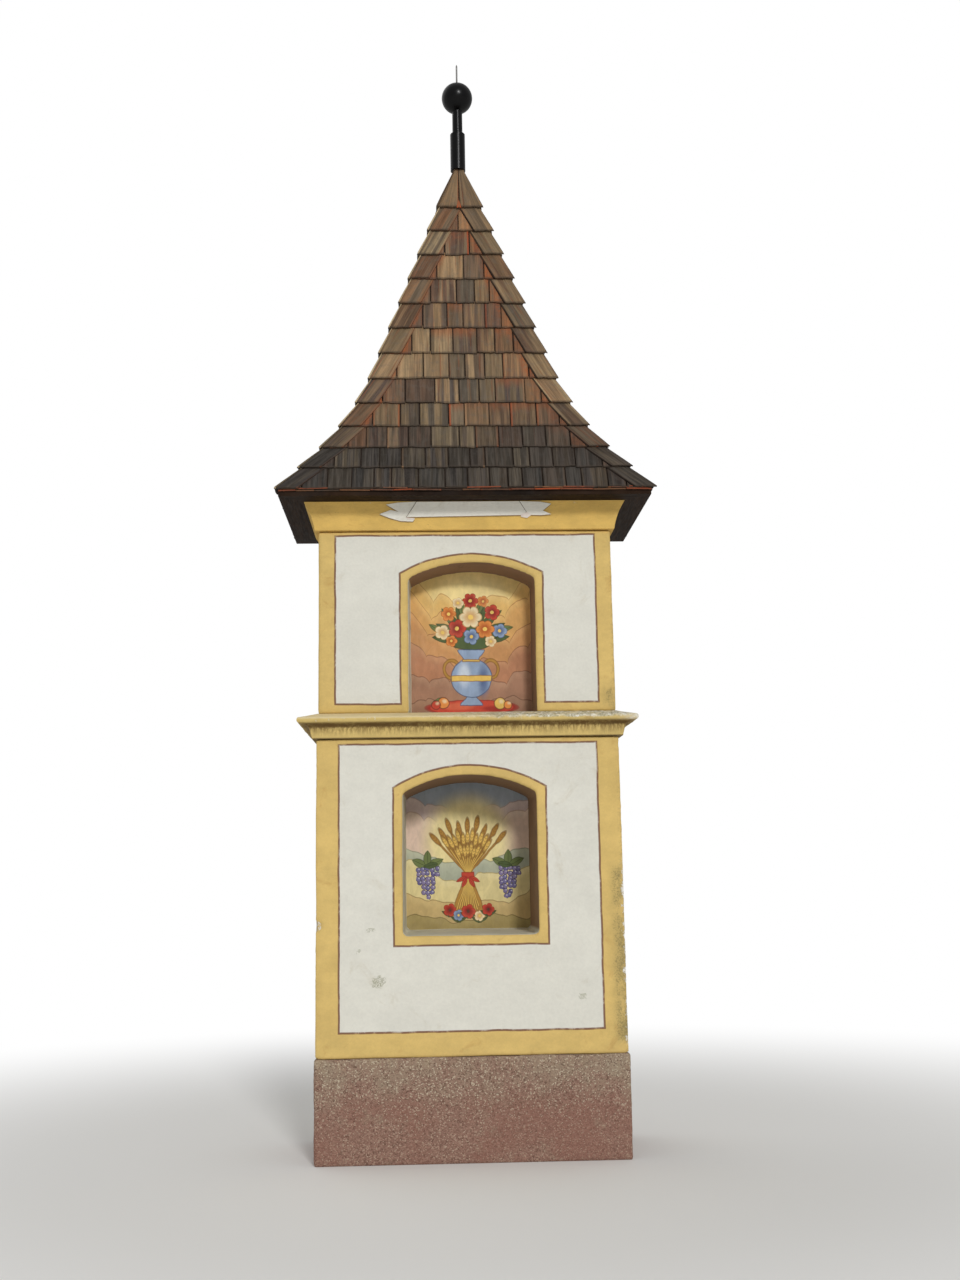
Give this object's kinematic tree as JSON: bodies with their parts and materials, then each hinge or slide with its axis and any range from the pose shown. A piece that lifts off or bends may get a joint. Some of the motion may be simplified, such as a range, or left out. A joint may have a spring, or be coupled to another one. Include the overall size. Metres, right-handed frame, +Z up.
{
  "type": "wayside shrine",
  "caption": "Rendered masonry pillar shrine with two arched niches, a moulded cornice and a steep bellcast shingle roof with a ball finial.",
  "frame": {"origin": "middle of the plinth's underside", "axes": "+Z up, the niches face -Y, +X to the right seen from the front"},
  "size_m": [1.6662, 0.9632, 5.1358],
  "materials": {
    "roughcast": "coarse pebble roughcast, dull",
    "render": "smooth limewashed render, matt",
    "ochre_render": "ochre limewashed render, weathered",
    "painting": "painted panel, matt",
    "dark_board": "dark stained boards",
    "shingle": "split wooden shingles, weathered grey",
    "black_metal": "gloss black paint",
    "grey_metal": "dull grey rod"
  },
  "bodies": {
    "root": {"base_plinth": "roughcast", "lower_left_pier": "render", "lower_right_pier": "render", "lower_sill_block": "render", "lower_back_wall": "render", "lower_arch_head": "render", "lower_picture": "painting", "mid_cornice": "ochre_render", "upper_left_pier": "render", "upper_right_pier": "render", "upper_back_wall": "render", "upper_arch_head": "render", "upper_picture": "painting", "top_cornice": "ochre_render", "soffit_front": "dark_board", "soffit_back": "dark_board", "soffit_left": "dark_board", "soffit_right": "dark_board", "wall_plate": "dark_board", "starter_course": "shingle", "shingle_course_01": "shingle", "shingle_course_02": "shingle", "shingle_course_03": "shingle", "shingle_course_04": "shingle", "shingle_course_05": "shingle", "shingle_course_06": "shingle", "shingle_course_07": "shingle", "shingle_course_08": "shingle", "shingle_course_09": "shingle", "shingle_course_10": "shingle", "shingle_course_11": "shingle", "shingle_course_12": "shingle", "roof_cap": "shingle", "roof_deck": "dark_board", "hip_back_right": "shingle", "hip_back_left": "shingle", "hip_front_right": "shingle", "hip_front_left": "shingle", "finial_sleeve": "black_metal", "finial_ball": "black_metal", "finial_spike": "grey_metal"}
  },
  "joints": []
}
